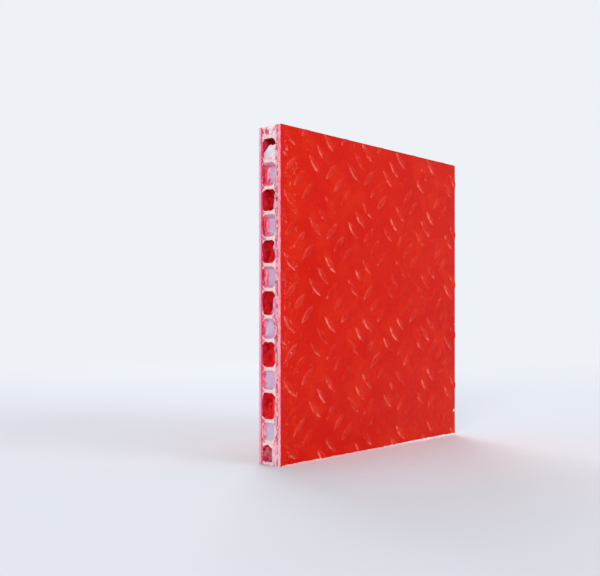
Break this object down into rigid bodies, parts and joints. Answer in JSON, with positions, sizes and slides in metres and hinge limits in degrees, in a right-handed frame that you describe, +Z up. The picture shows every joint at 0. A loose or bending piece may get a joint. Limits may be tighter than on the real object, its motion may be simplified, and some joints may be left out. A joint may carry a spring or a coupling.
{
  "type": "fibreglass honeycomb panel",
  "caption": "Sample of sandwich panel: red fibreglass skins, one with raised anti-slip tread bars, bonded to a white hexagonal honeycomb core that is open along its sawn edges.",
  "frame": {"origin": "on the floor, under the middle of the panel as it stands on its lower sawn edge", "axes": "+Z up along the panel's height, +X along its width, +Y through its thickness from the tread face to the rear face"},
  "size_m": [0.094, 0.0094, 0.1],
  "materials": {
    "red_laminate": "glossy gelcoat over glass laminate, matt where sawn",
    "red_resin": "cured resin",
    "white_veil": "thin non-woven veil, stained by resin",
    "white_core": "translucent white polypropylene, burred where sawn"
  },
  "bodies": {
    "root": {"tread_skin": "red_laminate", "front_bond_line": "red_resin", "front_veil": "white_veil", "honeycomb_core": "white_core", "rear_bond_line": "red_resin", "rear_skin": "red_laminate"}
  },
  "joints": []
}
